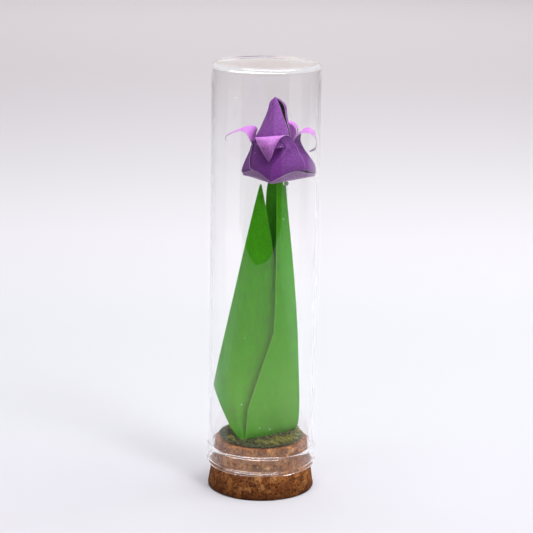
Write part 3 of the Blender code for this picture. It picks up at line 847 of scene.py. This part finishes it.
def bloom_base(stock):
    """The closed underside, folded in from the hem to the hole that the stem stands in."""
    turns = np.linspace(1.5, 5.5, 161)
    slit = 0.35 * bell(turns - 3.82, 0.12)
    rows = []
    for number, ring in enumerate(through(BASE_RINGS, 5, [1])):
        open_hem = max(0.0, 1.0 - number / 5.0)
        rows.append([body_point(ring, turn, 0.0, -drop * open_hem) for turn, drop in zip(turns, slit)])
    return seat(paper_sheet("bloom_base", np.array(rows)[::-1], stock), "violet_paper")


# bud, neck to point: each row runs round from the hidden end behind the left side
BUD_FRONT = [
    at(98.6, (-0.5, 3.2), (-3.0, -0.4), (-1.2, -4.4), (2.2, -6.4), (4.9, -5.7), (6.8, -3.4)),
    at(101.0, (-0.3, 3.0), (-2.5, -0.6), (-0.9, -3.9), (2.2, -5.6), (4.7, -5.0), (6.4, -3.5)),
    at(103.2, (0.2, 2.7), (-1.45, -0.5), (-0.2, -3.2), (2.25, -4.7), (4.4, -4.2), (6.0, -3.2)),
    at(105.2, (0.7, 2.4), (-0.6, -0.3), (0.4, -2.6), (2.3, -3.85), (3.9, -3.5), (5.3, -2.7)),
    at(107.1, (1.3, 2.0), (0.2, -0.1), (0.85, -2.0), (2.33, -3.0), (3.5, -2.75), (4.5, -2.1)),
    at(108.6, (1.6, 1.5), (0.68, 0.0), (1.1, -1.5), (2.36, -2.3), (3.2, -2.1), (3.95, -1.55)),
    [(1.9, 1.1, 109.8), (0.9, 0.0, 109.7), (1.35, -1.0, 109.8),
     (2.4, -1.7, 109.8), (2.95, -1.5, 109.8), (3.45, -1.1, 109.8)],
    [(2.1, 0.7, 110.7), (1.3, 0.0, 110.6), (1.7, -0.6, 110.7),
     (2.45, -1.1, 110.8), (2.8, -0.95, 110.8), (3.05, -0.8, 110.8)],
    [(2.4, 0.2, 111.55), (2.3, 0.0, 111.5), (2.35, -0.2, 111.6),
     (2.48, -0.4, 111.8), (2.6, -0.4, 111.75), (2.7, -0.35, 111.6)],
]
BUD_BACK = [
    at(98.6, (6.9, -2.2), (7.2, 0.3), (5.2, 3.4), (2.2, 4.4), (-0.8, 3.3)),
    at(101.0, (6.7, -2.1), (6.9, 0.3), (5.1, 3.1), (2.2, 4.1), (-0.6, 3.2)),
    at(103.2, (6.3, -2.0), (6.5, 0.2), (4.9, 2.8), (2.4, 3.7), (0.0, 2.8)),
    at(105.2, (5.7, -1.6), (6.0, 0.2), (4.7, 2.5), (2.6, 3.1), (0.6, 2.5)),
    at(107.1, (5.3, -1.2), (5.7, 0.2), (4.5, 2.1), (2.9, 2.5), (1.2, 2.1)),
    at(108.6, (5.1, -0.9), (5.55, 0.1), (4.3, 1.7), (3.0, 2.0), (1.6, 1.7)),
    at(109.8, (4.6, -0.6), (5.1, 0.0), (4.0, 1.2), (3.1, 1.5), (1.9, 1.2)),
    [(3.7, -0.4, 110.7), (4.1, 0.0, 110.75), (3.5, 0.6, 110.8), (2.9, 0.8, 110.8), (2.3, 0.7, 110.8)],
    [(2.9, -0.3, 111.35), (3.1, 0.0, 111.35), (2.9, 0.2, 111.4), (2.7, 0.25, 111.4), (2.5, 0.2, 111.4)],
]


def bloom(outside, bud, under):
    """Violet sheet folded and blown up: four flaps with curled petals, a base and a closed bud."""
    for corner in range(4):
        petal_flap(corner, outside)
    bloom_base(under)
    front = paper_sheet("bud_front", lofted(BUD_FRONT, 10, 9, [3]), bud, folds=[27])
    seat(front, "violet_paper", "bloom")
    seat(paper_sheet("bud_back", lofted(BUD_BACK, 10, 9), bud), "violet_paper")


# ---- glue and dust

def dab(name, node, finish, seed):
    """A rounded dab of glue filling its solid's box, a little uneven."""
    low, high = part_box(node)
    half = (high - low) / 2 / MM
    axes = [Vector((half.x, 0, 0)), Vector((0, half.y, 0)), Vector((0, 0, half.z))]
    points, faces = [], []
    crumb(points, faces, (low + high) / 2 / MM, axes, 18, 28,
          lambda way, ring, turn: 0.97 + 0.07 * noise.noise(way * 1.3 + Vector((seed, 0, 0))))
    return seat(mesh_piece(name, points, faces, [finish], sharp=80.0), "clear_glue", node)


FLECKS = [   # dust on the glass: turn in degrees from the front towards the right, height, size
    (-33, 112.9, 0.25), (-11, 109.9, 0.07), (-33, 92.1, 0.09), (-53, 91.7, 0.07), (15, 100.4, 0.10),
    (-11, 98.6, 0.07), (23, 87.9, 0.12), (20, 80.5, 0.09), (47, 70.0, 0.07), (-19, 47.0, 0.07),
    (-22, 27.9, 0.10), (-2, 21.4, 0.10), (9, 21.1, 0.11), (38, 52.0, 0.06), (-40, 60.0, 0.06),
]


def dust(finish):
    """Flecks of dust on the outside of the glass, each a small lumpy crumb pressed flat."""
    points, faces = [], []
    for turn, height, size in FLECKS:
        face = radians(turn)
        outward = Vector((sin(face), -cos(face), 0.0))
        across, up = Vector((cos(face), sin(face), 0.0)), Vector((0.0, 0.0, 1.0))
        middle = outward * (TUBE_RADIUS + 0.3 * size) + up * height
        crumb(points, faces, middle, [across * size, up * size, outward * 0.5 * size], 5, 8,
              lambda way, ring, spin: 1.0 + 0.5 * noise.noise(
                  Vector((turn + 3 * cos(spin), height + 3 * sin(spin), ring))))
    return seat(mesh_piece("dust", points, faces, [finish], sharp=80.0), "clear_glass")


# ---- studio

def camera():
    """The eye a little above the flower, half a metre in front, with a long lens."""
    pitch, yaw, roll = map(radians, (13.65, 0.26, 0.89))
    place = Vector((-1.5, -503.0, 186.0))
    forward = Vector((sin(yaw) * cos(pitch), cos(yaw) * cos(pitch), -sin(pitch)))
    right = Vector((cos(yaw), -sin(yaw), 0.0))
    up = right.cross(forward)
    turned_right = right * cos(roll) + up * sin(roll)
    turned_up = up * cos(roll) - right * sin(roll)
    lens = bpy.data.cameras.new("camera")
    lens.sensor_width = 36.0
    lens.lens = 125.2
    lens.clip_start = 0.02
    lens.clip_end = 20.0
    eye = bpy.data.objects.new("camera", lens)
    bpy.context.scene.collection.objects.link(eye)
    pose = Matrix((turned_right, turned_up, -forward)).transposed().to_4x4()
    pose.translation = place * MM
    eye.matrix_world = pose
    bpy.context.scene.camera = eye


def unseen(piece, *rays):
    """Keeps a card or a lamp from being met by some kinds of ray."""
    for ray in rays:
        setattr(piece, "visible_" + ray, False)
    return piece


def softbox(name, place, aim, width, height, watts, tint="#FFFFFF"):
    """A rectangular lamp, in metres, that is not seen through the glass."""
    light = bpy.data.lights.new(name, "AREA")
    light.shape = "RECTANGLE"
    light.size, light.size_y = width, height
    light.energy = watts
    light.color = colour(tint)[:3]
    lamp = bpy.data.objects.new(name, light)
    lamp.location = place
    lamp.rotation_euler = (Vector(aim) - Vector(place)).to_track_quat("-Z", "Y").to_euler()
    bpy.context.scene.collection.objects.link(lamp)
    return unseen(lamp, "transmission")


def card(name, corners, finish):
    """A flat stage card from its corners in metres."""
    mesh = bpy.data.meshes.new(name)
    mesh.from_pydata(corners, [], [tuple(range(len(corners)))])
    mesh.materials.append(finish)
    piece = bpy.data.objects.new(name, mesh)
    bpy.context.scene.collection.objects.link(piece)
    return piece


def flat_card(name, plan, height, finish, *rays):
    """A card that lies flat at a height and that some kinds of ray don't meet."""
    return unseen(card(name, [(x, y, height) for x, y in plan], finish), *rays)


def square(reach):
    """Corners of a square round the set."""
    return [(-reach, -reach), (reach, -reach), (reach, reach), (-reach, reach)]


def tent():
    """A dark box round the set that only scattered light feels: the lamps alone light the paper."""
    wall = plain_paper("tent_black", "#0A0A0A")
    low, high = -0.5, 3.0
    ends = square(3.5)
    sides = [[(*a, low), (*b, low), (*b, high), (*a, high)] for a, b in zip(ends, ends[1:] + ends[:1])]
    sides += [[(*end, level) for end in ends] for level in (high, low)]
    for number, corners in enumerate(sides):
        unseen(card("tent_%d" % number, corners, wall), "camera", "glossy", "transmission")


def table():
    """White table, painted whiter away from the camera as painted light, with the cards that shape what the
    glass throws back.
    """
    under, below, lowest = -2e-5, -3e-5, -4e-5       # heights just under the cork's foot
    over, highest = 0.001, 0.002                     # and over the table
    # painted light: the table's whiteness rises away from the camera to give the spread of light
    flat_card("table", square(3), under, lit_paper("white_background_paper", -0.1, 1.5, [
        (0.0, "#C9C6CC"), (0.0625, "#CBCAD1"), (0.1625, "#CFD1D5"), (0.26, "#DDDCE1"), (0.6, "#E5E3E6"),
        (0.956, "#F0EFF2")], "Y"), "diffuse", "shadow")
    # what the table throws back at the flower and at the glass is held down, as black flags would
    flat_card("table_flagged", square(3), lowest, plain_paper("flagged_paper", "#DCDCE0"),
              "camera", "glossy", "transmission", "shadow")
    # the dark of the room in front: one card for the reflections, and one under the table's surface that
    # only the scattered light feels, so that it leaves no dark patch on the table itself
    room = [(-0.30, -0.21), (-0.17, -0.257), (-0.01, -0.29), (0.12, -0.295), (0.21, -0.293), (1.0, -1.6),
            (-1.6, -1.2)]
    room_dark = lit_paper("room_dark", 0.64, 0.82, [(0.0, "#0C0C0C"), (1.0, "#C4C0C4")])
    flat_card("dark_room", room, highest, room_dark, "camera", "diffuse", "shadow")
    flat_card("dark_room_unlit", room, below, room_dark, "camera", "glossy", "transmission", "shadow")
    warm = lit_paper("warm_paper", 0.02, 0.29, [
        (0.0, "#FFF8F2"), (0.1, "#FFF4EC"), (0.135, "#8A8078"), (0.17, "#8A8078"), (0.21, "#DCCEBF"),
        (0.28, "#F4E4D2"), (0.65, "#D0C6BE"), (1.0, "#BEB8B4")])
    front = [(-0.3, -0.29), (0.3, -0.29), (0.12, -0.02), (-0.12, -0.02)]
    flat_card("table_in_front", front, over, warm, "camera", "diffuse", "shadow")
    for name, side, back, stops in (
            ("left", -1, 0.0, [(0.0, "#C8C6CA"), (0.25, "#D2D0D4"), (0.6, "#EEECEF"), (1.0, "#FFFFFF")]),
            ("right", 1, 0.45, [(0.0, "#C8C6CA"), (0.25, "#CCCACC"), (0.4, "#B0AEB0"), (0.62, "#78767A"),
                                (1.0, "#8A888C")])):
        wing = [(side * x, y) for x, y in ((0.3, -0.9), (1.6, -0.9), (1.6, back), (0.12, 0.0))]
        paper = lit_paper("paper_on_the_" + name, 0.1, 0.7, stops, glow=0.3)
        flat_card("table_" + name, wing, over, paper, "camera", "diffuse", "shadow")


def lamps(tube):
    """Soft light from above, a little from the right and in front, and a lit backdrop."""
    softbox("overhead_softbox", (0.09, 0.0, 0.85), (0.09, 0.0, 0), 0.86, 0.6, 10.0)
    # a long lamp in front, above the lens, draws the bright lines round the glass lip and the closed end
    shine = softbox("window_shine", (-0.4, -0.8, 0.44), (-0.1, 0.0, 0.06), 3.0, 0.44, 95.0)
    unseen(shine, "diffuse")
    only_glass = bpy.data.collections.new("lit_by_window_shine")
    only_glass.objects.link(tube)
    shine.light_linking.receiver_collection = only_glass
    for lamp in (softbox("right_softbox", (0.5, 0.05, 0.85), (0, 0, 0.08), 0.35, 0.35, 1.2),
                 softbox("front_softbox", (0.4, -0.42, 0.6), (0, 0, 0.08), 0.2, 0.2, 2.0),
                 softbox("backdrop_softbox", (0.0, 1.3, 0.9), (0, 1.3, 0), 1.6, 0.6, 8.5, "#FFF6FA")):
        unseen(lamp, "glossy")


def tent_light():
    """The even light of the white tent, warmer and dimmer low down."""
    world = bpy.data.worlds.new("tent")
    bpy.context.scene.world = world
    world.use_nodes = True
    world.node_tree.nodes.clear()
    add = partial(add_node, world.node_tree)
    place = add("TexCoord").outputs["Generated"]
    up = add("SeparateXYZ", {0: place}).outputs["Z"]
    tone = add("ValToRGB", {"Fac": up}, [
        (0.0, "#D4C8C4"), (0.13, "#DED2CE"), (0.35, "#E0DCDE"), (0.7, "#E6E6EA")])
    glow = add("Background", {"Color": tone})
    add("OutputWorld", {"Surface": glow})
    bpy.context.scene.view_settings.view_transform = "Standard"


# ---- assembly

def main():
    camera()
    tube = glass_tube(drawn_glass_tubing())
    table()
    tent()
    lamps(tube)
    tent_light()
    cork(pressed_cork())
    moss = dried_moss("dyed_dark_moss", [
        (0.0, "#141C08"), (0.35, "#36461A"), (0.65, "#66702A"), (1.0, "#A09A52")])
    moss_mat(moss)
    dark_moss(moss)
    pale_moss(dried_moss("feather_moss", [(0.0, "#6E7A1C"), (0.5, "#A8A62C"), (1.0, "#D0C25E")]))
    green = folding_paper("green_folding_paper", "#50B80A", "#47AC08", "#7FC456", 0.6, "#D6D6D6")
    violet = folding_paper("violet_folding_paper", "#9446AE", "#7E3698", "#CC98DA", 0.5, "#B0B0B0")
    # the reverse's pale pink is partly the sheet's lighter reverse side and partly painted glow of light
    # through the petals; its darker backing colour is painted shade
    reverse = folding_paper("violet_paper_reverse_painted_glow", "#EA96F6", "#DE8AEE", "#F4DAFA", 0.5, "#C8C8C8",
                            backed_painted_shade="#9450AA")
    # a lighter copy of the violet for the bud: painted light
    bud_paper_painted_lit = folding_paper("violet_bud_paper_painted_lit", "#B466CE", "#9C50B8", "#DDB0E8", 0.5, "#B0B0B0")
    # a darker copy of the violet for the hollow insides of the bud and base: painted shade
    inside = folding_paper("violet_paper_inside_painted_shade", "#5C2E6A", "#4E2459", "#8A5A98", 0.6, "#B0B0B0")
    # a lighter copy of the violet for the underside: painted light thrown up from the table
    under = folding_paper("violet_paper_underside_painted_lit", "#C298CC", "#B086BC", "#E0C8E6", 0.6, "#C0C0C0")
    green_core = cut_edge_paper("green_paper_core", "#6FB048", "#4E9A2C")
    violet_core = cut_edge_paper("violet_paper_core", "#E6CCEC", "#B683C4")
    stem_and_leaf([green, green, green_core])
    bloom([violet, reverse, violet_core], [bud_paper_painted_lit, inside, violet_core], [under, inside, violet_core])
    glue = hot_glue()
    dab("glue_at_foot", "foot_glue", glue, 1.0)
    dab("glue_under_bloom", "bloom_glue", glue, 5.0)
    dust(lint())


main()
